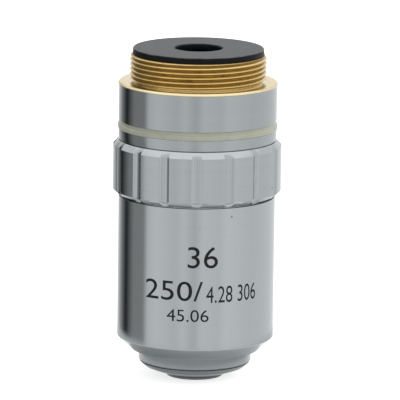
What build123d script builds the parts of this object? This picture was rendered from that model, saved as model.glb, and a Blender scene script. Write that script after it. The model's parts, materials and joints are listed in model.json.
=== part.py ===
from build123d import *
import os
from math import sqrt

# Microscope objective with a sprung nose, built as the real one comes apart on a bench.
# The origin is the centre of the locating shoulder, +Z runs up through the mount thread,
# and the front lens is at the bottom. All sizes are in millimetres.

# Brass mount: the thread (0.8 inch, drawn at its major radius), the shoulder and a spigot below
thread_length = 4.05
thread_lead_chamfer = 0.3
thread_relief_depth = 0.56
thread_relief_height = 0.45
shoulder_relief_depth = 0.06
shoulder_relief_room = 0.08
shoulder_width = 1.61
flange_proud = 0.11
flange_height = 0.36
flange_chamfer = 0.25
spigot_length = 3.6
mount_wall = 1.61
boss_ledge_width = 0.95

# Black cap with the rear aperture, on a boss that screws into the mount
cap_inset = 0.43
cap_height = 0.94
cap_edge_chamfer = 0.12
cap_hole_radius = 3.5
cap_hole_chamfer = 0.2
cap_boss_length = 2.0
cap_boss_wall = 1.4

# Upper barrel: the plated outside, the seats for what it carries, and the guide tube below
barrel_length = 5.36
socket_wall = 1.47
guide_wall = 1.2
guide_room = 0.28
guide_ledge_height = 1.2
guide_end_gap = 1.0
colour_groove_depth = 0.8
neck_length = 1.72
neck_relief_height = 0.14
neck_relief_depth = 0.35

# Colour ring in its groove: a thin neck above and a lip that stands proud below
colour_ring_height = 1.25
colour_neck_height = 0.5
colour_neck_depth = 0.12
colour_lip_proud = 0.09
colour_lip_slope = 0.15

# Fluted grip ring
grip_proud = 0.78
grip_length = 8.25
grip_top_slope = 0.87
grip_bottom_slope = 0.8
grip_seat_depth = 0.85
flute_count = 16
flute_depth = 0.3
flute_cutter_radius = 1.2

# Lower barrel shell, which screws on below the grip ring and ends in a cone
shell_step = 0.09
shell_length = 21.48
shell_cone_length = 1.89
shell_edge_radius = 0.12
shell_wall = 1.1
shell_floor = 2.8
shell_thread_length = 5.8
shell_relief_height = 0.2
shell_relief_depth = 0.5
rim_width = 1.31

# Sliding lens barrel, whose lower end is the nose
nose_step = 0.61
nose_wall = 1.24
nose_reach = 1.89
nose_travel = 1.8
nose_socket_wall = 1.42
lens_barrel_tail = 2.5
lip_height = 0.8
lip_width = 1.6
seam_chamfer = 0.15

# Guide screw that keeps the nose from turning
screw_height = 4.5
screw_head_radius = 1.0
screw_head_inset = 0.15
screw_shank_radius = 0.68
screw_shank_room = 0.65
screw_slot_width = 0.35
screw_slot_depth = 0.4

# Compression spring with ground ends
spring_wire_radius = 0.45
spring_room = 0.35
spring_coils = 5.5

# Front cell, with the front lens and the meniscus
front_boss_length = 1.65
bevel_width = 0.79
bevel_height = 0.85
front_cone_width = 3.3
front_cone_height = 1.25
tip_height = 0.3
tip_edge_radius = 0.1
front_lens_radius = 1.5
front_lens_below_centre = 0.25
front_lens_recess = 0.05
front_lip_width = 0.15
front_floor = 1.06
meniscus_radius = 2.5
meniscus_thickness = 1.5
meniscus_lower_curve = 3.0
meniscus_upper_curve = 2.7

# Cells stacked in the lens barrel, each with a ledge at its foot
ledge_height = 1.0
ledge_width = 0.5
doublet_cell_length = 5.4
triplet_cell_length = 6.9
triplet_cell_wall = 2.38
flattener_cell_length = 5.4
front_spacer_length = 2.0
rear_spacer_length = 2.2
spacer_wall = 1.5
lock_ring_height = 1.3
lock_ring_wall = 2.6
lock_slot_width = 1.0
lock_slot_depth = 0.6

# Cemented doublet, from the front: crown, flint
doublet_step = 0.8
doublet_front_curve = 9.0
doublet_cement_curve = 7.0
doublet_rear_curve = 28.0
doublet_crown_slimness = 1.1
doublet_flint_thickness = 1.1

# Cemented triplet, from the front: flint, crown, flint
triplet_step = 0.4
triplet_front_curve = 14.0
triplet_cement_curve = 6.8
triplet_rear_curve = 20.0
triplet_crown_slimness = 0.4
triplet_flint_thickness = 1.0

# Rear doublet that flattens the field, from the front: crown, flint
flattener_margin = 0.1
flattener_front_curve = 6.0
flattener_cement_curve = 9.0
flattener_rear_curve = 5.0
flattener_crown_slimness = 1.2
flattener_flint_thickness = 0.9

# Clearances
slide_clearance = 0.05
rim_clearance = 0.1
seat_clearance = 0.02
face_gap = 0.02
cement_gap = 0.01

# Lenses, each a little wider than the light that leaves through the cap. A crown's thickness
# is its radius less its slimness, so that its edge stays sound when the radius changes.
flattener_radius = cap_hole_radius + flattener_margin
doublet_radius = flattener_radius + doublet_step
triplet_radius = doublet_radius + triplet_step
flattener_crown_thickness = flattener_radius - flattener_crown_slimness
doublet_crown_thickness = doublet_radius - doublet_crown_slimness
triplet_crown_thickness = triplet_radius - triplet_crown_slimness

# Radii of the nose, from the widest lens out
cell_radius = triplet_radius + triplet_cell_wall
lens_bore_radius = cell_radius + seat_clearance
lip_radius = lens_bore_radius - lip_width
nose_radius = lens_bore_radius + nose_wall
nose_socket_radius = nose_radius - nose_socket_wall
front_boss_radius = nose_socket_radius - seat_clearance
front_flange_radius = nose_radius - seam_chamfer
bevel_radius = front_flange_radius - bevel_width
tip_radius = bevel_radius - front_cone_width

# Radii of the guide tube and of what slides in it
slide_radius = nose_radius + nose_step
nose_bearing_radius = nose_radius + slide_clearance
guide_bore_radius = slide_radius + slide_clearance
guide_outer_radius = guide_bore_radius + guide_wall
spring_mean_radius = guide_bore_radius - spring_room - spring_wire_radius

# Radii outside, and of the seats that the outer pieces share
shell_opening_radius = nose_radius + rim_clearance
rim_radius = nose_radius + rim_width
shell_bore_radius = guide_outer_radius + guide_room
shell_thread_radius = shell_bore_radius - seat_clearance
shell_radius = shell_bore_radius + shell_wall
barrel_radius = shell_radius + shell_step
colour_groove_radius = barrel_radius - colour_groove_depth
grip_radius = barrel_radius + grip_proud
grip_bore_radius = barrel_radius - grip_seat_depth
grip_seat_radius = grip_bore_radius - seat_clearance

# Radii at the mount
flange_radius = barrel_radius + flange_proud
spigot_radius = barrel_radius - socket_wall
thread_radius = barrel_radius - shoulder_width
thread_relief_radius = thread_radius - thread_relief_depth
shoulder_inner_radius = thread_radius + shoulder_relief_room
cap_radius = thread_radius - cap_inset
cap_boss_radius = thread_radius - mount_wall
mount_bore_radius = cap_boss_radius - boss_ledge_width

# Heights of the fixed pieces, from the shoulder down
barrel_top = -flange_height
colour_top = barrel_top - barrel_length
colour_bottom = colour_top - colour_ring_height
grip_top = colour_bottom - neck_length
grip_bottom = grip_top - grip_length
shell_thread_end = grip_bottom - shell_thread_length
cone_top = grip_bottom - shell_length
rim_height = cone_top - shell_cone_length
shell_floor_top = rim_height + shell_floor
guide_end = shell_floor_top + guide_end_gap
guide_ledge_top = guide_end + guide_ledge_height
cap_boss_end = thread_length - cap_boss_length
spigot_end = barrel_top - spigot_length

# Heights of the nose at rest, with its shoulder down on the guide tube's ledge
nose_end = rim_height - nose_reach
nose_shoulder = guide_ledge_top + face_gap
bevel_end = nose_end - bevel_height
tip_top = bevel_end - front_cone_height
tip_end = tip_top - tip_height
front_ledge = tip_end + front_floor
front_lens_bottom = tip_end + front_lens_recess + face_gap
lip_bottom = nose_end + front_boss_length
lip_top = lip_bottom + lip_height

# The stack inside the lens barrel, from the lip up
doublet_cell_bottom = lip_top
front_spacer_bottom = doublet_cell_bottom + doublet_cell_length
triplet_cell_bottom = front_spacer_bottom + front_spacer_length
rear_spacer_bottom = triplet_cell_bottom + triplet_cell_length
flattener_cell_bottom = rear_spacer_bottom + rear_spacer_length
lock_ring_bottom = flattener_cell_bottom + flattener_cell_length
lens_barrel_top = lock_ring_bottom + lock_ring_height + lens_barrel_tail

# The guide screw in the lens barrel's wall, and the spring above it
screw_level = nose_shoulder + screw_height
screw_head_length = guide_outer_radius - slide_radius - screw_head_inset
screw_shank_length = slide_radius - lens_bore_radius - screw_shank_room
spring_bottom = lens_barrel_top + face_gap
spring_top = spigot_end - face_gap

os.makedirs("parts", exist_ok=True)


def save(piece, name):
    """Label a finished piece and write it under its node's name."""
    piece.label = name
    export_step(piece, f"parts/{name}.step")


def sag(curve, radius):
    """Depth of a spherical surface of radius curve over a disc of the given radius."""
    return curve - sqrt(curve**2 - radius**2)


def surface_arc(vertex, radius, curve, rises):
    """Half of a lens surface, from the axis out to its edge. rises is 1 if it goes up from its vertex."""
    return ThreePointArc(
        (0, vertex),
        (radius / 2, vertex + rises * sag(curve, radius / 2)),
        (radius, vertex + rises * sag(curve, radius)),
    )


def lens(radius, vertex, thickness, lower, upper):
    """A round lens on the axis above its lower vertex. lower and upper are (curve, rises)."""
    with BuildPart() as glass:
        with BuildSketch(Plane.XZ):
            with BuildLine():
                low = surface_arc(vertex, radius, *lower)
                high = surface_arc(vertex + thickness, radius, *upper)
                Line(low @ 1, high @ 1)
                Line(low @ 0, high @ 0)
            make_face()
        revolve(axis=Axis.Z)
    return glass.part


def spacer(bottom, length):
    """A plain turned tube between two lens cells."""
    with BuildPart() as turned:
        with BuildSketch(Plane.XY.offset(bottom)):
            Circle(cell_radius)
            Circle(cell_radius - spacer_wall, mode=Mode.SUBTRACT)
        extrude(amount=length)
    return turned.part


def cell(bottom, length, lens_radius):
    """A lens cell: a turned cup whose ledge carries the lens from below."""
    with BuildPart() as cup:
        with BuildSketch(Plane.XY.offset(bottom)):
            Circle(cell_radius)
        extrude(amount=length)
        with BuildSketch(Plane.XY.offset(bottom)):
            Circle(lens_radius - ledge_width)
        extrude(amount=ledge_height, mode=Mode.SUBTRACT)
        with BuildSketch(Plane.XY.offset(bottom + ledge_height)):
            Circle(lens_radius + seat_clearance)
        extrude(amount=length - ledge_height, mode=Mode.SUBTRACT)
    return cup.part


def resting_vertex(cell_bottom, lens_radius, front_curve):
    """Height of the front vertex of a lens whose convex front rests on its cell's ledge."""
    ledge_top = cell_bottom + ledge_height
    return ledge_top - sag(front_curve, lens_radius - ledge_width) + face_gap


# Thread mount: lead chamfer, thread, relief, locating shoulder, flange and spigot.
# The relief runs on just below the shoulder, so that the shoulder's face is clear of the thread.
with BuildPart() as thread_mount:
    with BuildSketch(Plane.XZ):
        with BuildLine():
            Polyline(
                (cap_boss_radius + seat_clearance, thread_length),
                (thread_radius - thread_lead_chamfer, thread_length),
                (thread_radius, thread_length - thread_lead_chamfer),
                (thread_radius, thread_relief_height),
                (thread_relief_radius, thread_relief_height),
                (thread_relief_radius, -shoulder_relief_depth),
                (shoulder_inner_radius, -shoulder_relief_depth),
                (shoulder_inner_radius, 0),
                (flange_radius - flange_chamfer, 0),
                (flange_radius, -flange_chamfer),
                (flange_radius, barrel_top),
                (spigot_radius, barrel_top),
                (spigot_radius, spigot_end),
                (mount_bore_radius, spigot_end),
                (mount_bore_radius, cap_boss_end),
                (cap_boss_radius + seat_clearance, cap_boss_end),
                close=True,
            )
        make_face()
    revolve(axis=Axis.Z)
save(thread_mount.part, "thread_mount")

# Rear cap: a thin disc with the rear aperture, over the boss that holds it in the mount
with BuildPart() as rear_cap:
    with BuildSketch(Plane.XY.offset(thread_length)):
        Circle(cap_radius)
    extrude(amount=cap_height)
    chamfer(rear_cap.faces().sort_by(Axis.Z)[-1].edges(), length=cap_edge_chamfer)
    with BuildSketch(Plane.XY.offset(cap_boss_end)):
        Circle(cap_boss_radius)
        Circle(cap_boss_radius - cap_boss_wall, mode=Mode.SUBTRACT)
    extrude(amount=cap_boss_length)
    with BuildSketch(Plane.XY.offset(thread_length)):
        Circle(cap_hole_radius)
    extrude(amount=cap_height, mode=Mode.SUBTRACT)
    chamfer(
        rear_cap.faces().sort_by(Axis.Z)[-1].edges().sort_by(SortBy.RADIUS)[0],
        length=cap_hole_chamfer,
    )
save(rear_cap.part, "rear_cap")

# Upper barrel: socket for the spigot, colour groove, neck, grip seat, shell thread and guide tube
with BuildPart() as upper_barrel:
    with BuildSketch(Plane.XZ):
        with BuildLine():
            Polyline(
                (spigot_radius + seat_clearance, barrel_top - face_gap),
                (barrel_radius, barrel_top - face_gap),
                (barrel_radius, colour_top),
                (colour_groove_radius, colour_top),
                (colour_groove_radius, colour_bottom),
                (barrel_radius, colour_bottom),
                (barrel_radius, grip_top + neck_relief_height),
                (barrel_radius - neck_relief_depth, grip_top + neck_relief_height),
                (barrel_radius - neck_relief_depth, grip_top),
                (grip_seat_radius, grip_top),
                (grip_seat_radius, grip_bottom),
                (shell_thread_radius, grip_bottom),
                (shell_thread_radius, shell_thread_end),
                (guide_outer_radius, shell_thread_end),
                (guide_outer_radius, guide_end),
                (nose_bearing_radius, guide_end),
                (nose_bearing_radius, guide_ledge_top),
                (guide_bore_radius, guide_ledge_top),
                (guide_bore_radius, spigot_end - face_gap),
                (spigot_radius + seat_clearance, spigot_end - face_gap),
                close=True,
            )
        make_face()
    revolve(axis=Axis.Z)
    # Slot for the guide screw, at the back of the guide tube
    with BuildSketch(Plane.XZ.offset(-guide_outer_radius)):
        with Locations((0, screw_level + nose_travel / 2)):
            SlotCenterToCenter(nose_travel, 2 * (screw_head_radius + slide_clearance), rotation=90)
    extrude(amount=2 * guide_wall, mode=Mode.SUBTRACT)
save(upper_barrel.part, "upper_barrel")

# Colour ring: the groove that shows above the lip is the dark line on the barrel
with BuildPart() as colour_ring:
    with BuildSketch(Plane.XZ):
        with BuildLine():
            Polyline(
                (colour_groove_radius + seat_clearance, colour_top - face_gap),
                (barrel_radius - colour_neck_depth, colour_top - face_gap),
                (barrel_radius - colour_neck_depth, colour_top - colour_neck_height),
                (barrel_radius + colour_lip_proud, colour_top - colour_neck_height - colour_lip_slope),
                (barrel_radius + colour_lip_proud, colour_bottom + face_gap),
                (colour_groove_radius + seat_clearance, colour_bottom + face_gap),
                close=True,
            )
        make_face()
    revolve(axis=Axis.Z)
save(colour_ring.part, "colour_ring")

# Grip ring: sloped shoulders above and below, and shallow flutes down its whole side
with BuildPart() as grip_ring:
    with BuildSketch(Plane.XZ):
        with BuildLine():
            Polyline(
                (grip_bore_radius, grip_top),
                (barrel_radius, grip_top),
                (grip_radius, grip_top - grip_top_slope),
                (grip_radius, grip_bottom + grip_bottom_slope),
                (shell_radius, grip_bottom),
                (grip_bore_radius, grip_bottom),
                close=True,
            )
        make_face()
    revolve(axis=Axis.Z)
    with BuildSketch(Plane.XY.offset(grip_bottom)):
        with PolarLocations(grip_radius - flute_depth + flute_cutter_radius, flute_count, start_angle=-90):
            Circle(flute_cutter_radius)
    extrude(amount=grip_length, mode=Mode.SUBTRACT)
save(grip_ring.part, "grip_ring")

# Barrel shell: the lower barrel, its cone, and the opening that the nose comes out of
with BuildPart() as barrel_shell:
    with BuildSketch(Plane.XZ):
        with BuildLine():
            Polyline(
                (shell_bore_radius, grip_bottom - face_gap),
                (shell_radius - shell_relief_depth, grip_bottom - face_gap),
                (shell_radius - shell_relief_depth, grip_bottom - shell_relief_height),
                (shell_radius, grip_bottom - shell_relief_height),
                (shell_radius, cone_top),
                (rim_radius, rim_height),
                (shell_opening_radius, rim_height),
                (shell_opening_radius, shell_floor_top),
                (shell_bore_radius, shell_floor_top),
                close=True,
            )
        make_face()
    revolve(axis=Axis.Z)
    cone_edge = barrel_shell.edges().filter_by_position(Axis.Z, cone_top, cone_top)
    rim_edges = barrel_shell.edges().filter_by_position(Axis.Z, rim_height, rim_height)
    fillet(cone_edge + rim_edges.sort_by(SortBy.RADIUS)[-1:], radius=shell_edge_radius)
save(barrel_shell.part, "barrel_shell")

# Lens barrel: slides in the guide tube, its shoulder stops on the ledge, and its narrow end is the nose
with BuildPart() as lens_barrel:
    with BuildSketch(Plane.XZ):
        with BuildLine():
            Polyline(
                (lens_bore_radius, lens_barrel_top),
                (slide_radius, lens_barrel_top),
                (slide_radius, nose_shoulder),
                (nose_radius, nose_shoulder),
                (nose_radius, nose_end + seam_chamfer),
                (nose_radius - seam_chamfer, nose_end),
                (nose_socket_radius, nose_end),
                (nose_socket_radius, lip_bottom),
                (lip_radius, lip_bottom),
                (lip_radius, lip_top),
                (lens_bore_radius, lip_top),
                close=True,
            )
        make_face()
    revolve(axis=Axis.Z)
    # Tapped hole for the guide screw
    with BuildSketch(Plane.XZ.offset(-slide_radius)):
        with Locations((0, screw_level)):
            Circle(screw_shank_radius + seat_clearance)
    extrude(amount=screw_shank_length + face_gap, mode=Mode.SUBTRACT)
save(lens_barrel.part, "lens_barrel")

# Guide screw: its head runs in the guide tube's slot
with BuildPart() as guide_screw:
    with BuildSketch(Plane.XZ.offset(-slide_radius)):
        with Locations((0, screw_level)):
            Circle(screw_shank_radius)
    extrude(amount=screw_shank_length)
    with BuildSketch(Plane.XZ.offset(-slide_radius)):
        with Locations((0, screw_level)):
            Circle(screw_head_radius)
    extrude(amount=-screw_head_length)
    with BuildSketch(Plane.XZ.offset(-slide_radius - screw_head_length)):
        with Locations((0, screw_level)):
            Rectangle(screw_slot_width, 2 * screw_head_radius)
    extrude(amount=screw_slot_depth, mode=Mode.SUBTRACT)
save(guide_screw.part, "guide_screw")

# Retraction spring: one helix of wire, ground flat where it meets its seats
with BuildPart() as retraction_spring:
    with BuildLine():
        wire = Helix(
            pitch=(spring_top - spring_bottom) / spring_coils,
            height=spring_top - spring_bottom,
            radius=spring_mean_radius,
            center=(0, 0, spring_bottom),
        )
    with BuildSketch(Plane(origin=wire @ 0, z_dir=wire % 0)):
        Circle(spring_wire_radius)
    sweep(is_frenet=True)
    split(bisect_by=Plane.XY.offset(spring_bottom), keep=Keep.TOP)
    split(bisect_by=Plane.XY.offset(spring_top), keep=Keep.BOTTOM)
save(retraction_spring.part, "retraction_spring")

# Front cell: the bevel, cone and tip below the nose, bored for the front lens and the meniscus
with BuildPart() as front_cell:
    with BuildSketch(Plane.XZ):
        with BuildLine():
            Polyline(
                (meniscus_radius + seat_clearance, lip_bottom - face_gap),
                (front_boss_radius, lip_bottom - face_gap),
                (front_boss_radius, nose_end - face_gap),
                (front_flange_radius - seam_chamfer, nose_end - face_gap),
                (front_flange_radius, nose_end - face_gap - seam_chamfer),
                (bevel_radius, bevel_end),
                (tip_radius, tip_top),
                (tip_radius, tip_end),
                (front_lens_radius - front_lip_width, tip_end),
                (front_lens_radius - front_lip_width, tip_end + front_lens_recess),
                (front_lens_radius + seat_clearance, tip_end + front_lens_recess),
                (front_lens_radius + seat_clearance, front_ledge),
                (meniscus_radius + seat_clearance, front_ledge),
                close=True,
            )
        make_face()
    revolve(axis=Axis.Z)
    tip_edges = front_cell.edges().filter_by_position(Axis.Z, tip_end, tip_end)
    fillet(tip_edges.sort_by(SortBy.RADIUS)[-1], radius=tip_edge_radius)
save(front_cell.part, "front_cell")

# Front lens: rather more than a half ball, flat side down
with BuildPart() as front_lens:
    with Locations((0, 0, front_lens_bottom + front_lens_below_centre)):
        Sphere(front_lens_radius)
    split(bisect_by=Plane.XY.offset(front_lens_bottom), keep=Keep.TOP)
save(front_lens.part, "front_lens")

# Meniscus: its hollow side faces the front lens and its rim stands on the ledge
save(
    lens(
        meniscus_radius,
        front_ledge + face_gap + sag(meniscus_lower_curve, meniscus_radius),
        meniscus_thickness,
        (meniscus_lower_curve, -1),
        (meniscus_upper_curve, -1),
    ),
    "meniscus_lens",
)

# Doublet and its cell
save(cell(doublet_cell_bottom, doublet_cell_length, doublet_radius), "doublet_cell")
doublet_vertex = resting_vertex(doublet_cell_bottom, doublet_radius, doublet_front_curve)
save(
    lens(
        doublet_radius,
        doublet_vertex,
        doublet_crown_thickness,
        (doublet_front_curve, 1),
        (doublet_cement_curve, -1),
    ),
    "doublet_crown_lens",
)
save(
    lens(
        doublet_radius,
        doublet_vertex + doublet_crown_thickness + cement_gap,
        doublet_flint_thickness,
        (doublet_cement_curve, -1),
        (doublet_rear_curve, -1),
    ),
    "doublet_flint_lens",
)

# Spacer between the doublet's cell and the triplet's
save(spacer(front_spacer_bottom, front_spacer_length), "front_spacer")

# Triplet and its cell
save(cell(triplet_cell_bottom, triplet_cell_length, triplet_radius), "triplet_cell")
triplet_vertex = resting_vertex(triplet_cell_bottom, triplet_radius, triplet_front_curve)
triplet_crown_vertex = triplet_vertex + triplet_flint_thickness + cement_gap
save(
    lens(
        triplet_radius,
        triplet_vertex,
        triplet_flint_thickness,
        (triplet_front_curve, 1),
        (triplet_cement_curve, 1),
    ),
    "triplet_front_lens",
)
save(
    lens(
        triplet_radius,
        triplet_crown_vertex,
        triplet_crown_thickness,
        (triplet_cement_curve, 1),
        (triplet_cement_curve, -1),
    ),
    "triplet_middle_lens",
)
save(
    lens(
        triplet_radius,
        triplet_crown_vertex + triplet_crown_thickness + cement_gap,
        triplet_flint_thickness,
        (triplet_cement_curve, -1),
        (triplet_rear_curve, -1),
    ),
    "triplet_rear_lens",
)

# Spacer between the triplet's cell and the flattener's
save(spacer(rear_spacer_bottom, rear_spacer_length), "rear_spacer")

# Field flattener and its cell
save(cell(flattener_cell_bottom, flattener_cell_length, flattener_radius), "flattener_cell")
flattener_vertex = resting_vertex(flattener_cell_bottom, flattener_radius, flattener_front_curve)
save(
    lens(
        flattener_radius,
        flattener_vertex,
        flattener_crown_thickness,
        (flattener_front_curve, 1),
        (flattener_cement_curve, -1),
    ),
    "flattener_crown_lens",
)
save(
    lens(
        flattener_radius,
        flattener_vertex + flattener_crown_thickness + cement_gap,
        flattener_flint_thickness,
        (flattener_cement_curve, -1),
        (flattener_rear_curve, 1),
    ),
    "flattener_flint_lens",
)

# Lock ring: threaded ring that clamps the stack, with two slots for a pin spanner
with BuildPart() as lock_ring:
    with BuildSketch(Plane.XY.offset(lock_ring_bottom)):
        Circle(cell_radius)
        Circle(cell_radius - lock_ring_wall, mode=Mode.SUBTRACT)
    extrude(amount=lock_ring_height)
    with BuildSketch(Plane.XY.offset(lock_ring_bottom + lock_ring_height)):
        Rectangle(2 * cell_radius, lock_slot_width)
    extrude(amount=-lock_slot_depth, mode=Mode.SUBTRACT)
save(lock_ring.part, "lock_ring")
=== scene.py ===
import json
from math import asin, cos, pi, radians, sin, sqrt, tan

import bmesh
import bpy
from bpy.props import FloatProperty, FloatVectorProperty, IntProperty, PointerProperty, StringProperty
from mathutils import Matrix, Vector


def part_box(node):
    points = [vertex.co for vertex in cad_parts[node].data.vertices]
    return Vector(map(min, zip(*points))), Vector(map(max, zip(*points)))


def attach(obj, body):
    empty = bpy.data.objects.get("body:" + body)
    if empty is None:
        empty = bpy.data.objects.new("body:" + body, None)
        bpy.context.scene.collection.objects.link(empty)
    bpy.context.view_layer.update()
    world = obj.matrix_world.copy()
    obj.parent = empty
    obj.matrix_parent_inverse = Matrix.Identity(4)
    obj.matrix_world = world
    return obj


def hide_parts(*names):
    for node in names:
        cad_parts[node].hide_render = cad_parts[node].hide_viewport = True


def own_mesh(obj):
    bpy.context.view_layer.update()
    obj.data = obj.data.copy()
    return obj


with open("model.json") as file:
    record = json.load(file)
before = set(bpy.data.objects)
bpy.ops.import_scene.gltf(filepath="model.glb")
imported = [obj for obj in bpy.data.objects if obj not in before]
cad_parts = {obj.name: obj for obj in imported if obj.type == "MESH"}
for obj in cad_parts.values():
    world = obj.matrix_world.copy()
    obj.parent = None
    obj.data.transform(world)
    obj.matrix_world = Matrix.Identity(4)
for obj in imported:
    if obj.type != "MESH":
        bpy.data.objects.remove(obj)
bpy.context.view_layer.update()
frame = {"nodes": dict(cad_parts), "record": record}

bl_info = {
    "name": "Microscope objective",
    "version": (1, 0, 0),
    "blender": (4, 5, 0),
    "location": "3D View > Sidebar > Objective",
    "description": "Dresses a sprung microscope objective: thread, flutes, numerals and finishes",
    "category": "Object",
}

TIP_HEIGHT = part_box("front_cell")[0].z

# Two places nearer than this are one place
NEAR = 1e-7

# Spacing of the lines that a lathe leaves on plate, brass, anodised black and plain metal, and of broad ones
PLATE_LINES = 0.00009
BRASS_LINES = 0.00008
BLACK_LINES = 0.00012
METAL_LINES = 0.00010
BROAD_LINES = 0.0007


# Sizes and colours that a user would change


def length(name, description, default):
    """A length in metres."""
    return FloatProperty(name=name, description=description, default=default, unit="LENGTH", precision=6)


def angle(name, description, default):
    """An angle, given in degrees."""
    return FloatProperty(
        name=name, description=description, default=radians(default), subtype="ANGLE", unit="ROTATION"
    )


def colour(name, description, default):
    """A linear colour."""
    return FloatVectorProperty(
        name=name, description=description, default=default, size=3, min=0, max=1, subtype="COLOR"
    )


class TurningSizes(bpy.types.PropertyGroup):
    """How finely the turned pieces are made, and how soft their edges are."""

    steps: IntProperty(name="Steps", description="Faces around a turned piece", default=256, min=32)
    ease: length("Edge", "Radius of a deburred edge", 0.00005)


class ThreadSizes(bpy.types.PropertyGroup):
    """The mount thread: 36 turns to the inch, 55 degree form."""

    pitch: length("Pitch", "Height of one turn", 0.0254 / 36)
    depth: length("Depth", "From root to crest", 0.64 * 0.0254 / 36)
    crest: length("Crest radius", "Major radius of the thread", 0.01016)
    foot: length("Foot", "Height above the shoulder at which the thread runs out", 0.00045)
    sharpness: FloatProperty(
        name="Sharpness",
        description="1 gives pointed crests",
        default=0.9,
        min=0.1,
        max=0.99,
        subtype="FACTOR",
    )
    spacing: length("Spacing", "Height between the rings of the mesh", 0.00004)


class GripSizes(bpy.types.PropertyGroup):
    """The fluted grip ring."""

    radius: length("Land radius", "Outside, between two flutes", 0.01255)
    bore: length("Bore radius", "Seat on the upper barrel", 0.01092)
    top_radius: length("Top radius", "Foot of the upper slope", 0.01177)
    bottom_radius: length("Bottom radius", "Foot of the lower slope", 0.01168)
    top_slope: length("Top slope", "Height of the upper slope", 0.00087)
    bottom_slope: length("Bottom slope", "Height of the lower slope", 0.0008)
    flutes: IntProperty(name="Flutes", description="Flutes around the ring", default=16, min=3)
    depth: length("Flute depth", "Depth of a flute at its middle", 0.0003)
    cutter: length("Cutter radius", "Radius of the cutter that makes a flute", 0.0012)
    soft: length("Flute edge", "Width of the rounding along a flute's edges", 0.00007)


class SpringSizes(bpy.types.PropertyGroup):
    """The retraction spring."""

    coil: length("Coil radius", "Radius of the wire's middle line", 0.0083)
    wire: length("Wire radius", "Radius of the wire", 0.00045)
    coils: FloatProperty(name="Coils", description="Turns of the wire", default=5.5, min=1)
    travel: length("Travel", "How far the nose slides in and shortens the spring", 0.0018)


class NumeralSizes(bpy.types.PropertyGroup):
    """The numerals printed on the lower barrel."""

    first: StringProperty(name="First line", description="Plain number", default="36")
    second: StringProperty(name="Second line", description="Large number", default="250/")
    second_small: StringProperty(name="Second line, small", description="Plain numbers", default="4.28 306")
    third: StringProperty(name="Third line", description="Plain number", default="45.06")
    radius: length("Barrel radius", "Radius that the numerals lie on", 0.01168)
    proud: length("Ink height", "How far the ink stands proud", 0.000008)
    sunk: length("Ink depth", "How far the ink reaches into the plating", 0.00003)
    slice: length("Slice", "Width of the strips that bend round the barrel", 0.00015)


class FinishColours(bpy.types.PropertyGroup):
    """Colours of the finishes."""

    plate: colour("Satin plate", "Plated barrel", (0.415, 0.447, 0.458))
    brass: colour("Brass", "Mount thread and shoulder", (0.80, 0.60, 0.245))
    pale_brass: colour("Pale brass", "Rubbed flange", (0.76, 0.65, 0.41))
    tarnish: colour("Tarnish", "Valleys of the thread", (0.24, 0.135, 0.026))
    cap: colour("Black", "Anodised cap", (0.006, 0.006, 0.0065))
    ring: colour("Ivory", "Colour ring", (0.38, 0.395, 0.31))
    ink: colour("Ink", "Numerals", (0.012, 0.012, 0.012))
    steel: colour("Steel", "Guide screw", (0.50, 0.50, 0.49))
    spring: colour("Spring steel", "Retraction spring", (0.38, 0.39, 0.41))
    blackened: colour("Blackened brass", "Lens cells", (0.030, 0.026, 0.022))
    crown: colour("Crown glass", "Crown elements", (0.90, 0.97, 0.98))
    flint: colour("Flint glass", "Flint elements", (0.98, 0.95, 0.88))


class StageSizes(bpy.types.PropertyGroup):
    """Camera, floor and light."""

    distance: length("Distance", "From the axis to the camera, along the floor", 0.714)
    height: length("Height", "Of the camera above the shoulder", 0.1231)
    side: length("Side", "Of the camera from the middle plane", 0.0005)
    pitch: angle("Tilt", "How far the camera looks down", 11.181)
    roll: angle("Roll", "Turn of the camera about its own axis", 0.75)
    lens: FloatProperty(name="Lens", description="Focal length in millimetres", default=439.5, min=1)
    floor: length("Floor", "Half the width of the floor", 0.6)
    near: length("Near floor", "Radius of the floor that the plating mirrors", 0.035)
    ambient: FloatProperty(name="Ambient", description="Light on matte surfaces", default=0.8, min=0)
    overhead: FloatProperty(name="Overhead", description="Brightness straight up", default=1.4, min=0)


# Shader sums


class Term:
    """An output socket of a shader, on which sums are written as on a number."""

    def __init__(self, sheet, socket):
        self.sheet = sheet
        self.socket = socket

    def sum(self, operation, first, second):
        """One Math node."""
        return self.sheet.take("ShaderNodeMath", 0, {"operation": operation}, {0: first, 1: second})

    def __add__(self, other):
        return self.sum("ADD", self, other)

    def __radd__(self, other):
        return self.sum("ADD", other, self)

    def __sub__(self, other):
        return self.sum("SUBTRACT", self, other)

    def __rsub__(self, other):
        return self.sum("SUBTRACT", other, self)

    def __mul__(self, other):
        return self.sum("MULTIPLY", self, other)

    def __rmul__(self, other):
        return self.sum("MULTIPLY", other, self)

    def __pow__(self, other):
        return self.sum("POWER", self, other)


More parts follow.
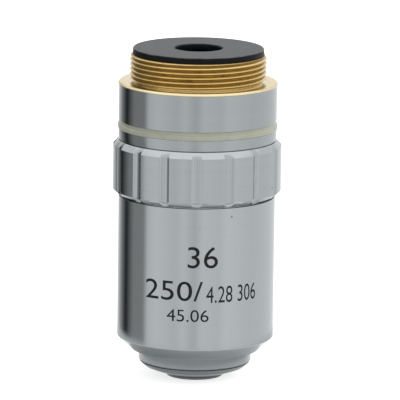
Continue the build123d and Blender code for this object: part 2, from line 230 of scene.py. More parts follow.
class Sheet:
    """The nodes of one material, or of the world."""

    def __init__(self, owner):
        owner.use_nodes = True
        self.owner = owner
        self.tree = owner.node_tree
        self.tree.nodes.clear()

    def add(self, kind, settings=None, values=None):
        """A node of any kind. Its settings come first, then the values or links of its sockets."""
        node = self.tree.nodes.new(kind)
        for name, value in (settings or {}).items():
            if name == "stops":
                self.set_stops(node.color_ramp, value)
            else:
                setattr(node, name, value)
        for name, value in (values or {}).items():
            if isinstance(value, Term):
                self.tree.links.new(value.socket, node.inputs[name])
            else:
                node.inputs[name].default_value = value
        return node

    def take(self, kind, output, settings=None, values=None):
        """One output of a new node."""
        return Term(self, self.add(kind, settings, values).outputs[output])

    @staticmethod
    def set_stops(ramp, stops):
        """Stops of a colour ramp, as (place, grey)."""
        while len(ramp.elements) < len(stops):
            ramp.elements.new(1.0)
        for element, (place, grey) in zip(ramp.elements, stops):
            element.position = place
            element.color = (grey, grey, grey, 1)

    def place(self):
        """The point in the object's frame, in metres, with its x, its z and its distance from the axis."""
        node = self.add("ShaderNodeTexCoord")
        point = Term(self, node.outputs["Object"])
        parts = self.add("ShaderNodeSeparateXYZ", None, {0: point})
        x, y, z = (Term(self, socket) for socket in parts.outputs)
        return point, x, z, (x * x + y * y) ** 0.5

    def noise(self, vector, scale, detail=2.0, roughness=0.5, warp=0.0):
        """Cloudy noise from 0 to 1 on a vector in metres."""
        values = {"Vector": vector, "Scale": scale, "Detail": detail}
        values.update({"Roughness": roughness, "Distortion": warp})
        return self.take("ShaderNodeTexNoise", 0, None, values)

    def vector(self, x, y, z):
        """A vector from three numbers."""
        return self.take("ShaderNodeCombineXYZ", 0, None, {0: x, 1: y, 2: z})

    def fade(self, value, low, high):
        """0 below low, 1 above high and smooth between them. Falls instead if low is above high."""
        settings = {"interpolation_type": "SMOOTHSTEP"}
        if low > high:
            return 1 - self.take("ShaderNodeMapRange", 0, settings, {0: value, 1: high, 2: low})
        return self.take("ShaderNodeMapRange", 0, settings, {0: value, 1: low, 2: high})

    def mix(self, share, first, second, way="MIX"):
        """Two colours mixed."""
        settings = {"data_type": "RGBA", "blend_type": way}
        return self.take("ShaderNodeMix", 2, settings, {0: share, 6: opaque(first), 7: opaque(second)})

    def bump(self, height, distance, strength=1.0):
        """A normal for the shader from a height between 0 and 1."""
        values = {"Height": height, "Distance": distance, "Strength": strength}
        return self.take("ShaderNodeBump", 0, None, values)

    def surface(self, **values):
        """The material's shader, with underscores for the spaces in its sockets' names."""
        named = {name.replace("_", " "): opaque(value) for name, value in values.items()}
        shader = self.take("ShaderNodeBsdfPrincipled", 0, None, named)
        self.add("ShaderNodeOutputMaterial", None, {"Surface": shader})
        return self.owner


def opaque(value):
    """A colour of three numbers gets its fourth; anything else stays."""
    if isinstance(value, (Term, int, float)):
        return value
    return (*value, 1) if len(value) == 3 else value


def shade(base, factor):
    """A colour made darker or lighter."""
    return tuple(min(1, part * factor) for part in base)


# Finishes


def turning(sheet, x, z, radius, spacing, seed=0.0):
    """Fine lines that run round a turned piece, on walls and on flat faces alike. seed gives other lines."""
    return sheet.noise(sheet.vector(radius + seed, z, x * 0.004), 1 / spacing, 2.0, 0.6)


def satin_plate(name, colours, share=1.0, streak=0.06, rough=0.10, painted_dent_shade=None):
    """Satin bright plating over turned brass: lines round the axis and faint smudges. share is painted light
    and shade: it dims this copy of the plating, or above 1 brightens it, for how light falls on its piece.

    dent is the place of a small dark spot: painted shade, for a small hollow pressed into the plating.
    """
    sheet = Sheet(bpy.data.materials.new(name))
    point, x, z, radius = sheet.place()
    fine = turning(sheet, x, z, radius, PLATE_LINES)
    broad = turning(sheet, x, z, radius, BROAD_LINES, 0.02)
    smudge = sheet.noise(point, 160, 3.0, 0.55, 0.4)
    speck = sheet.fade(sheet.noise(point, 2600, 1.0), 0.79, 0.82)
    tone = 1 + (fine - 0.5) * streak + (broad - 0.5) * streak - speck * 0.25
    grey = sheet.vector(tone, tone, tone)
    # share is painted light and shade: the one plating made darker or lighter for the light on each piece
    base = sheet.mix(1.0, shade(colours.plate, share), grey, "MULTIPLY")
    if painted_dent_shade:
        # Painted shade: a small dark spot in place of a hollow pressed into the plating
        away = sheet.take("ShaderNodeVectorMath", 1, {"operation": "DISTANCE"}, {0: point, 1: painted_dent_shade})
        base = sheet.mix(sheet.fade(away, 0.00020, 0.00010) * 0.6, base, (0.05, 0.05, 0.05))
    return sheet.surface(
        Base_Color=base,
        Metallic=1.0,
        Roughness=rough + (fine - 0.5) * 0.05 + (smudge - 0.5) * 0.05,
        Normal=sheet.bump(fine, 0.0000009),
    )


def mount_brass(name, colours, thread):
    """Bare brass: bright crests, tarnished valleys, dark specks at the thread's foot."""
    sheet = Sheet(bpy.data.materials.new(name))
    point, x, z, radius = sheet.place()
    root = thread.crest - thread.depth
    fine = turning(sheet, x, z, radius, BRASS_LINES)
    cloud = sheet.noise(point, 420, 3.0, 0.6, 0.6)
    above = sheet.fade(z, 0.0001, 0.0003)
    valley = sheet.fade(radius, root + 0.00036, root + 0.00008) * above
    stain = sheet.fade(cloud, 0.45, 0.75)
    speck = sheet.fade(sheet.noise(point, 1500, 1.0), 0.70, 0.76) * above
    dirt = valley * 0.75 + stain * 0.25 * above + speck * 0.5
    tone = 0.92 + (fine - 0.5) * 0.16 + (cloud - 0.5) * 0.12
    bare = sheet.mix(sheet.fade(z, 0.00002, -0.00003), colours.brass, colours.pale_brass)
    bright = sheet.mix(1.0, bare, sheet.vector(tone, tone, tone), "MULTIPLY")
    return sheet.surface(
        Base_Color=sheet.mix(dirt, bright, colours.tarnish),
        Metallic=1.0 - dirt * 0.25,
        Roughness=0.17 + dirt * 0.3 + (fine - 0.5) * 0.08,
        Normal=sheet.bump(fine, 0.0000015),
    )


def matte_black(name, colours):
    """Matte anodised black: a top face painted paler as painted light from above, a little dust, and an edge
    worn brighter.
    """
    sheet = Sheet(bpy.data.materials.new(name))
    point, x, z, radius = sheet.place()
    fine = turning(sheet, x, z, radius, BLACK_LINES)
    grain = sheet.noise(point, 9000, 2.0, 0.6)
    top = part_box("rear_cap")[1].z
    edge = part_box("rear_cap")[1].x
    worn = sheet.fade(radius, edge - 0.00018, edge - 0.00006) * sheet.fade(z, top - 0.00016, top - 0.00004)
    patch = sheet.fade(sheet.noise(point, 700, 2.0), 0.35, 0.65)
    dust = sheet.fade(sheet.noise(point, 3200, 1.0), 0.74, 0.80)
    tone = sheet.mix((fine - 0.5) * 0.4 + 0.3, shade(colours.cap, 0.8), shade(colours.cap, 1.6))
    tone = sheet.mix(dust * 0.35, tone, (0.12, 0.12, 0.12))
    # Painted light: the top face painted a paler grey, where light from above falls on it
    face = sheet.fade(z, top - 0.00010, top - 0.00003)
    tone = sheet.mix(face * (0.85 + fine * 0.3), tone, (0.080, 0.084, 0.087))
    return sheet.surface(
        Base_Color=sheet.mix(worn * patch * 0.6, tone, (0.20, 0.19, 0.18)),
        Roughness=0.46 + (grain - 0.5) * 0.16 - worn * 0.1,
        Specular_IOR_Level=0.1,
        Normal=sheet.bump(grain * 0.6 + fine * 0.4, 0.000004),
    )


def ivory_enamel(name, colours):
    """Semi-gloss ivory enamel with faint mottling."""
    sheet = Sheet(bpy.data.materials.new(name))
    point = sheet.place()[0]
    cloud = sheet.noise(point, 500, 3.0, 0.6)
    fine = sheet.noise(point, 6000, 2.0)
    base = sheet.mix(sheet.fade(cloud, 0.3, 0.7), shade(colours.ring, 0.94), shade(colours.ring, 1.05))
    return sheet.surface(
        Base_Color=base,
        Roughness=0.34 + (fine - 0.5) * 0.12,
        Coat_Weight=0.2,
        Normal=sheet.bump(fine, 0.000002),
    )


def black_ink(name, colours):
    """Printed ink with uneven cover."""
    sheet = Sheet(bpy.data.materials.new(name))
    point = sheet.place()[0]
    cover = sheet.noise(point, 5200, 2.0, 0.6)
    base = sheet.mix(sheet.fade(cover, 0.35, 0.75), colours.ink, shade(colours.ink, 2.4))
    return sheet.surface(
        Base_Color=base,
        Roughness=0.5 + (cover - 0.5) * 0.2,
        Specular_IOR_Level=0.1,
        Normal=sheet.bump(cover, 0.000002),
    )


def turned_metal(name, base_colour, rough, spread, metallic=1.0):
    """Plain turned metal for the pieces inside."""
    sheet = Sheet(bpy.data.materials.new(name))
    point, x, z, radius = sheet.place()
    fine = turning(sheet, x, z, radius, METAL_LINES)
    cloud = sheet.noise(point, 600, 3.0, 0.6)
    base = sheet.mix(fine * 0.6 + cloud * 0.4, shade(base_colour, 1 - spread), shade(base_colour, 1 + spread))
    return sheet.surface(
        Base_Color=base,
        Metallic=metallic,
        Roughness=rough + (fine - 0.5) * 0.1 + (cloud - 0.5) * 0.06,
        Normal=sheet.bump(fine, 0.0000015),
    )


def coated_glass(name, tint, ior):
    """Polished glass with the purple bloom of its coating and a few specks of dust."""
    sheet = Sheet(bpy.data.materials.new(name))
    point, _, _, radius = sheet.place()
    bloom = sheet.noise(point, 260, 2.0, 0.5)
    dust = sheet.fade(sheet.noise(point, 5000, 1.0), 0.78, 0.83)
    tone = sheet.mix(sheet.fade(radius, 0.001, 0.004), tint, shade(tint, 0.93))
    tone = sheet.mix(bloom * 0.08, tone, (0.62, 0.50, 0.90))
    return sheet.surface(
        Base_Color=tone,
        Roughness=0.02 + dust * 0.3,
        Transmission_Weight=1.0,
        IOR=ior,
        Coat_Weight=0.25 + bloom * 0.1,
        Coat_Tint=(0.72, 0.60, 1.0),
    )


# Shapes


def seam_outline(node):
    """Outline that a turned CAD node was spun from: its points (radius, height) on the half-plane y = 0."""
    mesh = frame["nodes"][node].data
    places = {}
    for vertex in mesh.vertices:
        x, y, z = vertex.co
        if abs(y) < NEAR and x > 0:
            places[vertex.index] = (round(x, 7), round(z, 7))
    links = {}
    for edge in mesh.edges:
        first, second = (places.get(index) for index in edge.vertices)
        if first and second and first != second:
            links.setdefault(first, set()).add(second)
            links.setdefault(second, set()).add(first)
    # A flat face has no seam, so the two ends at one height are joined
    ends = [point for point in links if len(links[point]) == 1]
    ends.sort(key=lambda point: (point[1], point[0]))
    for first, second in zip(ends[::2], ends[1::2]):
        links[first].add(second)
        links[second].add(first)
    outline = [min(links)]
    last = None
    while True:
        ways = [point for point in links[outline[-1]] if point != last]
        last = outline[-1]
        if ways[0] == outline[0] or len(outline) > len(links):
            break
        outline.append(ways[0])
    if len(outline) != len(links):
        raise RuntimeError(f"{node}: its outline has {len(links)} points and {len(outline)} were joined")
    return [Vector(point) for point in outline]


def eased(outline, radius):
    """The closed outline with its corners rounded. A rounding takes up 0.3 of a side at most."""
    blunt = radians(15)
    facet = radians(25)
    share_of_side = 0.3
    soft = []
    for index, corner in enumerate(outline):
        back = outline[index - 1] - corner
        ahead = outline[(index + 1) % len(outline)] - corner
        turn = pi - back.angle(ahead)
        if turn < blunt:
            soft.append(corner)
            continue
        reach = min(radius * tan(turn / 2), share_of_side * back.length, share_of_side * ahead.length)
        start = corner + back.normalized() * reach
        end = corner + ahead.normalized() * reach
        steps = max(2, round(turn / facet))
        for step in range(steps + 1):
            share = step / steps
            soft.append(start * (1 - share) ** 2 + corner * (2 * share * (1 - share)) + end * share**2)
    return soft


def divided(outline, spacing, low, high, inside):
    """The closed outline with points at every spacing between two heights and outside a radius."""
    points = []
    for index, start in enumerate(outline):
        end = outline[(index + 1) % len(outline)]
        points.append(start)
        held = min(start.y, end.y) >= low - NEAR and max(start.y, end.y) <= high + NEAR
        if held and min(start.x, end.x) >= inside:
            steps = int((end - start).length / spacing) + 1
            points.extend(start.lerp(end, step / steps) for step in range(1, steps))
    return points


def even(count):
    """Angles evenly round the axis."""
    return [2 * pi * step / count for step in range(count)]


def finished(build, name, body, material, nodes=()):
    """A piece from its bmesh: shaded smooth, riding on its body, in its finish, in place of its CAD nodes."""
    bmesh.ops.recalc_face_normals(build, faces=build.faces)
    mesh = bpy.data.meshes.new(name)
    build.to_mesh(mesh)
    build.free()
    mesh.shade_smooth()
    mesh.materials.append(material)
    piece = bpy.data.objects.new(name, mesh)
    bpy.context.scene.collection.objects.link(piece)
    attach(piece, body)
    if nodes:
        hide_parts(*nodes)
    return piece


def spun(outline, angles, shape=None):
    """A closed outline spun round the axis. shape may change a point's radius by its height and angle."""
    build = bmesh.new()
    rings = []
    for turn in angles:
        ring = []
        for radius, height in outline:
            far = shape(radius, height, turn) if shape else radius
            ring.append(build.verts.new((far * cos(turn), far * sin(turn), height)))
        rings.append(ring)
    for index, ring in enumerate(rings):
        following = rings[(index + 1) % len(rings)]
        for corner in range(len(ring)):
            after = (corner + 1) % len(ring)
            build.faces.new((ring[corner], following[corner], following[after], ring[after]))
    return build


def weighted(piece):
    """Large faces keep their own normal, so that a rounded edge doesn't shade the wall beside it."""
    modifier = piece.modifiers.new("Face weighted normals", "WEIGHTED_NORMAL")
    modifier.weight = 100
    return piece


def cut(piece, cutter):
    """Takes a cutter out of a piece, and removes the cutter."""
    modifier = piece.modifiers.new("Cut", "BOOLEAN")
    modifier.object = cutter
    modifier.solver = "EXACT"
    seen = bpy.context.evaluated_depsgraph_get()
    made = bpy.data.meshes.new_from_object(piece.evaluated_get(seen))
    piece.modifiers.clear()
    name = piece.data.name
    piece.data = made
    made.name = name
    bpy.data.objects.remove(cutter)
    return piece


def rod(centre, radius, depth, rise=0.0, sides=48):
    """A cutter along Y: a round rod, or one drawn out in height by rise."""
    build = bmesh.new()
    front = []
    back = []
    for turn in even(sides):
        lift = rise / 2 if sin(turn) > 0 else -rise / 2
        x = centre[0] + radius * cos(turn)
        z = centre[2] + radius * sin(turn) + lift
        front.append(build.verts.new((x, centre[1] - depth / 2, z)))
        back.append(build.verts.new((x, centre[1] + depth / 2, z)))
    build.faces.new(front)
    build.faces.new(back)
    for index in range(len(front)):
        after = (index + 1) % len(front)
        build.faces.new((front[index], front[after], back[after], back[index]))
    bmesh.ops.recalc_face_normals(build, faces=build.faces)
    mesh = bpy.data.meshes.new("cutter")
    build.to_mesh(mesh)
    build.free()
    cutter = bpy.data.objects.new("cutter", mesh)
    bpy.context.scene.collection.objects.link(cutter)
    return cutter


def turned(node, body, material, scene):
    """A CAD node turned again in fine steps, with its edges deburred."""
    sizes = scene.turning_sizes
    build = spun(eased(seam_outline(node), sizes.ease), even(sizes.steps))
    return finished(build, node + "_turned", body, material, [node])


# Operators, one for each piece or group of like pieces


class OBJECTIVE_OT_mount(bpy.types.Operator):
    """Cut the mount thread and deburr the shoulder and the flange"""

    bl_idname = "objective.mount"
    bl_label = "Threaded mount"

    def execute(self, context):
        scene = context.scene
        sizes = scene.thread_sizes
        root = sizes.crest - sizes.depth

        def thread(radius, height, turn):
            if radius <= root or height < sizes.foot - NEAR:
                return radius
            share = (height / sizes.pitch - turn / (2 * pi)) % 1
            wave = 0.5 + 0.5 * asin(sizes.sharpness * cos(2 * pi * share)) / asin(sizes.sharpness)
            return min(radius, root + sizes.depth * wave)

        outline = eased(seam_outline("thread_mount"), scene.turning_sizes.ease)
        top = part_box("thread_mount")[1].z
        outline = divided(outline, sizes.spacing, sizes.foot, top, root)
        material = mount_brass("mount_brass", scene.finish_colours, sizes)
        build = spun(outline, even(scene.turning_sizes.steps), thread)
        piece = finished(build, "thread_mount_cut", "housing", material, ["thread_mount"])
        weighted(piece)
        return {"FINISHED"}


class OBJECTIVE_OT_cap(bpy.types.Operator):
    """Turn the black cap with the rear aperture"""

    bl_idname = "objective.cap"
    bl_label = "Rear cap"

    def execute(self, context):
        scene = context.scene
        material = matte_black("matte_black", scene.finish_colours)
        weighted(turned("rear_cap", "housing", material, scene))
        return {"FINISHED"}


class OBJECTIVE_OT_barrel(bpy.types.Operator):
    """Turn the upper barrel and its colour ring, and cut the guide screw's slot"""

    bl_idname = "objective.barrel"
    bl_label = "Upper barrel"

    def execute(self, context):
        scene = context.scene
        # share below 1: painted shade, the plating dimmed on the upper barrel
        material = satin_plate("satin_plate_head", scene.finish_colours, share=0.89)
        piece = turned("upper_barrel", "housing", material, scene)
        low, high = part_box("guide_screw")
        room = 0.00005
        head = (high.x - low.x) / 2 + room
        travel = scene.spring_sizes.travel
        # The slot goes through the guide tube's wall, and is longer than the head by the travel
        tube_wall = 0.0097
        through = 0.0024
        middle = ((low.x + high.x) / 2, tube_wall, (low.z + high.z) / 2 + travel / 2)
        weighted(cut(piece, rod(middle, head, through, travel)))
        enamel = ivory_enamel("ivory_enamel", scene.finish_colours)
        weighted(turned("colour_ring", "housing", enamel, scene))
        return {"FINISHED"}


class OBJECTIVE_OT_grip(bpy.types.Operator):
    """Turn the grip ring and mill its flutes"""

    bl_idname = "objective.grip"
    bl_label = "Grip ring"

    def execute(self, context):
        scene = context.scene
        sizes = scene.grip_sizes
        low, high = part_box("grip_ring")
        outline = [
            Vector((sizes.bore, high.z)),
            Vector((sizes.top_radius, high.z)),
            Vector((sizes.radius, high.z - sizes.top_slope)),
            Vector((sizes.radius, low.z + sizes.bottom_slope)),
            Vector((sizes.bottom_radius, low.z)),
            Vector((sizes.bore, low.z)),
        ]
        outline = eased(outline, scene.turning_sizes.ease)
        upper = high.z - sizes.top_slope
        lower = low.z + sizes.bottom_slope
        spacing = 0.00008
        inside = sizes.radius - 2 * sizes.depth
        outline = divided(outline, spacing, upper, high.z, inside)
        outline = divided(outline, spacing, low.z, lower, inside)
        centre = sizes.radius - sizes.depth + sizes.cutter
        pitch = 2 * pi / sizes.flutes

        def flute(radius, height, turn):
            away = (turn / pitch + 0.5) % 1 * pitch - pitch / 2
            across = centre * sin(away)
            if abs(across) >= sizes.cutter:
                return radius
            wall = centre * cos(away) - sqrt(sizes.cutter**2 - across**2)
            near = max(sizes.soft - abs(radius - wall), 0) / sizes.soft
            return min(radius, wall) - near * near * sizes.soft / 4

        # Angles from a flute's middle, close together at its edge, then four even steps over the land
        edge_share = 0.72
        edge = asin(sizes.cutter / centre) * edge_share
        marks = [0.0, 0.25, 0.5, 0.7, 0.82, 0.9, 0.96, 1.0, 1.04, 1.1, 1.2, 1.45]
        half = [edge * mark for mark in marks]
        half += [half[-1] + (pitch / 2 - half[-1]) * step / 4 for step in range(1, 5)]
        period = [-turn for turn in reversed(half[1:-1])] + half
        angles = [flute_at * pitch + turn for flute_at in range(sizes.flutes) for turn in period]
        # Place of a painted dark spot: the shade of a small hollow pressed into the grip's plating
        painted_dent_shade = (0.01113, -0.00580, -0.01490)
        # share below 1: painted shade, the plating dimmed a little on the grip ring
        material = satin_plate("satin_plate_grip", scene.finish_colours, share=0.96, painted_dent_shade=painted_dent_shade)
        build = spun(outline, angles, flute)
        weighted(finished(build, "grip_ring_fluted", "housing", material, ["grip_ring"]))
        return {"FINISHED"}


class OBJECTIVE_OT_shell(bpy.types.Operator):
    """Turn the lower barrel shell with its cone"""

    bl_idname = "objective.shell"
    bl_label = "Barrel shell"

    def execute(self, context):
        scene = context.scene
        # Place of a painted dark spot: the shade of a small hollow pressed into the shell's plating
        painted_dent_shade = (0.00520, -0.01046, -0.01840)
        # share above 1: painted light, the plating brightened a little on the shell
        material = satin_plate("satin_plate_shell", scene.finish_colours, share=1.02, streak=0.03, painted_dent_shade=painted_dent_shade)
        weighted(turned("barrel_shell", "housing", material, scene))
        return {"FINISHED"}


class OBJECTIVE_OT_nose(bpy.types.Operator):
    """Turn the lens barrel and the front cell, and drill the guide screw's hole"""

    bl_idname = "objective.nose"
    bl_label = "Nose"

    def execute(self, context):
        scene = context.scene
        # share 0.6: painted shade, the plating dimmed on the nose for the shaded floor that it mirrors
        material = satin_plate("satin_plate_nose", scene.finish_colours, share=0.6, streak=0.1, rough=0.13)
        piece = turned("lens_barrel", "nose", material, scene)
        low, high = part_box("guide_screw")
        # The screw's hole runs in from the wall of the lens barrel to just past the screw's end
        wall = 0.00905
        hole = 0.0007
        past = 0.00002
        middle = ((low.x + high.x) / 2, wall, (low.z + high.z) / 2)
        weighted(cut(piece, rod(middle, hole, 2 * (wall - low.y + past))))
        weighted(turned("front_cell", "nose", material, scene))
        return {"FINISHED"}


class OBJECTIVE_OT_spring(bpy.types.Operator):
    """Wind the retraction spring, with both ends ground flat"""

    bl_idname = "objective.spring"
    bl_label = "Retraction spring"

    def execute(self, context):
        scene = context.scene
        sizes = scene.spring_sizes
        low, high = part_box("retraction_spring")
        rise = high.z - low.z
        build = bmesh.new()
        steps_a_coil = 64
        steps = int(sizes.coils * steps_a_coil)
        sides = 20
        rings = []
        for step in range(steps + 1):
            turn = 2 * pi * sizes.coils * step / steps
            height = low.z + rise * step / steps
            ring = []
            for side in range(sides):
                lean = 2 * pi * side / sides
                far = sizes.coil + sizes.wire * cos(lean)
                z = min(max(height + sizes.wire * sin(lean), low.z), high.z)
                ring.append(build.verts.new((far * cos(turn), far * sin(turn), z)))
            rings.append(ring)
        for first, second in zip(rings, rings[1:]):
            for side in range(sides):
                after = (side + 1) % sides
                build.faces.new((first[side], second[side], second[after], first[after]))
        build.faces.new(rings[0])
        build.faces.new(rings[-1])
        material = turned_metal("spring_steel", scene.finish_colours.spring, 0.3, 0.12)
        name = "retraction_spring_wound"
        piece = finished(build, name, "housing", material, ["retraction_spring"])
        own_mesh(piece)
        return {"FINISHED"}


class OBJECTIVE_OT_numerals(bpy.types.Operator):
    """Print the numerals on the lower barrel"""

    bl_idname = "objective.numerals"
    bl_label = "Numerals"

    def execute(self, context):
        scene = context.scene
        sizes = scene.numeral_sizes
        material = black_ink("black_ink", scene.finish_colours)
        # Name, text, height of the figures, left and right end round the barrel, height of the base line
        lines = [
            ("numeral_first", sizes.first, 0.00335, (-0.00120, 0.00330), -0.02596),
            ("numeral_second", sizes.second, 0.00307, (-0.00790, 0.00110), -0.03092),
            ("numeral_second_small", sizes.second_small, 0.0026, (0.00160, 0.01000), -0.03120),
            ("numeral_third", sizes.third, 0.0019, (-0.00430, 0.00200), -0.03405),
        ]
        for name, words, tall, span, foot in lines:
            self.print_line(context, name, words, tall, span, foot, sizes, material)
        return {"FINISHED"}

    def print_line(self, context, name, words, tall, span, foot, sizes, material):
        """One line of numerals: set flat, sliced into strips and bent round the barrel."""
        text = bpy.data.curves.new(name + "_text", "FONT")
        text.body = words
        # Any thickness does here, as the depth is set below
        text.extrude = 0.5
        text.resolution_u = 6
        carrier = bpy.data.objects.new(name + "_text", text)
        context.scene.collection.objects.link(carrier)
        seen = context.evaluated_depsgraph_get()
        flat = bpy.data.meshes.new_from_object(carrier.evaluated_get(seen))
        bpy.data.objects.remove(carrier)
        if not flat.vertices:
            raise RuntimeError(f"{name}: the text made no mesh")
        build = bmesh.new()
        build.from_mesh(flat)
        bpy.data.meshes.remove(flat)
        bmesh.ops.remove_doubles(build, verts=build.verts, dist=1e-5)
        digits = [vertex.co for vertex in build.verts]
        left = min(point.x for point in digits)
        right = max(point.x for point in digits)
        # The font's figures stand on the base line, and this is their height at size 1
        figure_height = 0.73
        scale_up = tall / figure_height
        scale_across = (span[1] - span[0]) / (right - left)
        for vertex in build.verts:
            point = vertex.co
            depth = sizes.proud if point.z > 0 else -sizes.sunk
            vertex.co = (span[0] + (point.x - left) * scale_across, foot + point.y * scale_up, depth)
        cuts = int((span[1] - span[0]) / sizes.slice)
        for step in range(1, cuts):
            at = span[0] + (span[1] - span[0]) * step / cuts
            parts = list(build.verts) + list(build.edges) + list(build.faces)
            bmesh.ops.bisect_plane(build, geom=parts, plane_co=(at, 0, 0), plane_no=(1, 0, 0), dist=1e-8)
        for vertex in build.verts:
            along, height, depth = vertex.co
            turn = along / sizes.radius
            far = sizes.radius + depth
            vertex.co = (far * sin(turn), -far * cos(turn), height)
        piece = finished(build, name, "housing", material)
        piece.data.set_sharp_from_angle(angle=radians(40))


class OBJECTIVE_OT_optics(bpy.types.Operator):
    """Finish the lenses, their cells, the spacers, the lock ring and the guide screw"""

    bl_idname = "objective.optics"
    bl_label = "Optics"

    def execute(self, context):
        colours = context.scene.finish_colours
        finishes = {
            "blackened_brass": turned_metal("blackened_brass", colours.blackened, 0.5, 0.3, metallic=0.3),
            "black_anodised": turned_metal("black_spacer", colours.cap, 0.5, 0.3, metallic=0.0),
            "steel": turned_metal("turned_steel", colours.steel, 0.28, 0.1),
            "crown_glass": coated_glass("crown_glass_coated", colours.crown, 1.52),
            "flint_glass": coated_glass("flint_glass_coated", colours.flint, 1.65),
        }
        slots = {part["node"]: part["material_slot"] for part in frame["record"]["subparts"]}
        for name, node in frame["nodes"].items():
            if node.hide_render:
                continue
            if not node.material_slots:
                raise RuntimeError(f"{name} has no material slot")
            for holder in node.material_slots:
                holder.material = finishes[slots[name]]
        return {"FINISHED"}


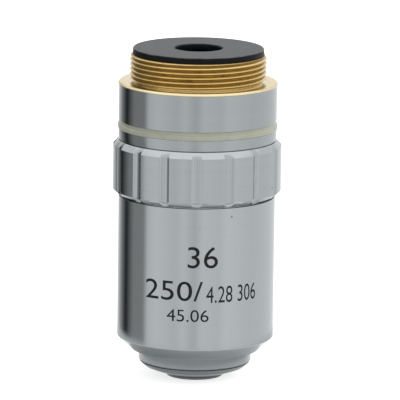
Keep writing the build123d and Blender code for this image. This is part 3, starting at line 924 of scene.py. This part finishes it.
class OBJECTIVE_OT_stage(bpy.types.Operator):
    """Set the floor, the light and the camera"""

    bl_idname = "objective.stage"
    bl_label = "Stage"

    def execute(self, context):
        scene = context.scene
        sizes = scene.stage_sizes
        scene.view_settings.view_transform = "Standard"
        self.lay_floor(scene, sizes)
        self.light_room(scene, sizes)
        camera = bpy.data.cameras.new("camera")
        camera.lens = sizes.lens
        camera.sensor_width = 36
        camera.clip_start = 0.01
        holder = bpy.data.objects.new("camera", camera)
        scene.collection.objects.link(holder)
        aim = Matrix.Rotation(pi / 2 - sizes.pitch, 4, "X") @ Matrix.Rotation(sizes.roll, 4, "Z")
        holder.matrix_world = Matrix.Translation((sizes.side, -sizes.distance, sizes.height)) @ aim
        scene.camera = holder
        return {"FINISHED"}

    def lay_floor(self, scene, sizes):
        """A pale floor at the height of the tip. Far from the object, mirror rays pass it."""
        build = bmesh.new()
        corners = [(-1, -1), (1, -1), (1, 1), (-1, 1)]
        build.faces.new([build.verts.new((x * sizes.floor, y * sizes.floor, TIP_HEIGHT)) for x, y in corners])
        mesh = bpy.data.meshes.new("floor")
        build.to_mesh(mesh)
        build.free()
        floor_piece = bpy.data.objects.new("floor", mesh)
        scene.collection.objects.link(floor_piece)
        sheet = Sheet(bpy.data.materials.new("pale_floor"))
        point, _, _, radius = sheet.place()
        path = sheet.add("ShaderNodeLightPath")
        mirror = Term(sheet, path.outputs["Is Glossy Ray"])
        seen = Term(sheet, path.outputs["Is Camera Ray"])
        paper = sheet.noise(point, 900, 3.0)
        tone = 0.86 + (paper - 0.5) * 0.02
        pale = sheet.take("ShaderNodeBsdfDiffuse", 0, None, {"Color": sheet.vector(tone, tone, tone)})
        # White to the camera. The plating mirrors a ring of light round the object and a patch under it.
        beside = sheet.fade(radius, 0.0125, 0.0140) * sheet.fade(radius, 0.0220, 0.0190)
        below = sheet.fade(radius, 0.0090, 0.0075)
        to_camera = 0.7
        ring = 0.5
        patch = 0.3
        strength = seen * to_camera + mirror * (beside * ring + below * patch)
        glow = sheet.take("ShaderNodeEmission", 0, None, {"Color": (1, 1, 1, 1), "Strength": strength})
        lit = sheet.take("ShaderNodeAddShader", 0, None, {0: pale, 1: glow})
        clear = sheet.take("ShaderNodeBsdfTransparent", 0)
        beyond = mirror * sheet.fade(radius, sizes.near, sizes.near * 1.15)
        mixed = sheet.take("ShaderNodeMixShader", 0, None, {0: beyond, 1: lit, 2: clear})
        sheet.add("ShaderNodeOutputMaterial", None, {"Surface": mixed})
        mesh.materials.append(sheet.owner)

    def light_room(self, scene, sizes):
        """A white room. The plating mirrors its dark side, to the left, and a few dimmer gaps."""
        world = bpy.data.worlds.new("room")
        scene.world = world
        sheet = Sheet(world)
        way = sheet.take("ShaderNodeTexCoord", "Generated")
        parts = sheet.add("ShaderNodeSeparateXYZ", None, {0: way})
        x, y, z = (Term(sheet, socket) for socket in parts.outputs)
        bearing = sheet.take("ShaderNodeMath", 0, {"operation": "ARCTAN2"}, {0: x, 1: 0 - y})
        # Brightness by bearing, in degrees to the right of straight in front
        walls = [
            (-180, 1.0), (-160, 0.8), (-143, 0.34), (-128, 0.04), (-122, 0.05), (-105, 0.36), (-84, 0.38),
            (-75, 0.9), (-60, 1.0), (-30, 0.88), (-18, 0.98), (-2, 0.8), (10, 1.0), (34, 0.94), (46, 1.05),
            (88, 0.94), (128, 0.98), (180, 1.0),
        ]
        brightest = max(level for bearing_at, level in walls)
        stops = [((bearing_at + 180) / 360, level / brightest) for bearing_at, level in walls]
        around = bearing * (1 / (2 * pi)) + 0.5
        wall = sheet.take("ShaderNodeValToRGB", 0, {"stops": stops}, {0: around}) * brightest
        upper_wall = (1.05,) * 3
        level = sheet.mix(sheet.fade(z, 0.2, 0.45), wall, upper_wall)
        level = sheet.mix(sheet.fade(z, 0.55, 0.85), level, (sizes.overhead,) * 3)
        path = sheet.add("ShaderNodeLightPath")
        seen = Term(sheet, path.outputs["Is Camera Ray"])
        matte = Term(sheet, path.outputs["Is Diffuse Ray"])
        brighter_right = 0.4
        soft = sizes.ambient * (1 + x * brighter_right)
        level = sheet.mix(matte, level, sheet.vector(soft, soft, soft))
        level = sheet.mix(seen, level, (1, 1, 1))
        glow = sheet.take("ShaderNodeBackground", 0, None, {"Color": level, "Strength": 1.0})
        sheet.add("ShaderNodeOutputWorld", None, {"Surface": glow})
        lamp = bpy.data.lights.new("softbox", "AREA")
        lamp.shape = "SQUARE"
        lamp.size = 0.5
        lamp.energy = 1.1
        holder = bpy.data.objects.new("softbox", lamp)
        holder.location = (0.2, -0.25, 0.65)
        holder.rotation_euler = (-holder.location).to_track_quat("-Z", "Y").to_euler()
        holder.visible_glossy = False
        scene.collection.objects.link(holder)


OPERATORS = (
    OBJECTIVE_OT_mount,
    OBJECTIVE_OT_cap,
    OBJECTIVE_OT_barrel,
    OBJECTIVE_OT_grip,
    OBJECTIVE_OT_shell,
    OBJECTIVE_OT_nose,
    OBJECTIVE_OT_spring,
    OBJECTIVE_OT_numerals,
    OBJECTIVE_OT_optics,
    OBJECTIVE_OT_stage,
)

GROUPS = {
    "turning_sizes": TurningSizes,
    "thread_sizes": ThreadSizes,
    "grip_sizes": GripSizes,
    "spring_sizes": SpringSizes,
    "numeral_sizes": NumeralSizes,
    "finish_colours": FinishColours,
    "stage_sizes": StageSizes,
}


class OBJECTIVE_PT_pieces(bpy.types.Panel):
    """The objective's pieces, in the 3D view's sidebar"""

    bl_idname = "OBJECTIVE_PT_pieces"
    bl_label = "Microscope objective"
    bl_space_type = "VIEW_3D"
    bl_region_type = "UI"
    bl_category = "Objective"

    def draw(self, context):
        for operator in OPERATORS:
            self.layout.operator(operator.bl_idname)


def register():
    """Adds the property groups, the operators and the panel."""
    for name, group in GROUPS.items():
        bpy.utils.register_class(group)
        setattr(bpy.types.Scene, name, PointerProperty(type=group))
    for operator in OPERATORS:
        bpy.utils.register_class(operator)
    bpy.utils.register_class(OBJECTIVE_PT_pieces)


def unregister():
    """Takes them all away again."""
    bpy.utils.unregister_class(OBJECTIVE_PT_pieces)
    for operator in reversed(OPERATORS):
        bpy.utils.unregister_class(operator)
    for name, group in reversed(GROUPS.items()):
        delattr(bpy.types.Scene, name)
        bpy.utils.unregister_class(group)


def main():
    """Builds every piece and the stage."""
    register()
    bpy.ops.objective.mount()
    bpy.ops.objective.cap()
    bpy.ops.objective.barrel()
    bpy.ops.objective.grip()
    bpy.ops.objective.shell()
    bpy.ops.objective.nose()
    bpy.ops.objective.spring()
    bpy.ops.objective.numerals()
    bpy.ops.objective.optics()
    bpy.ops.objective.stage()


if __name__ == "__main__":
    main()
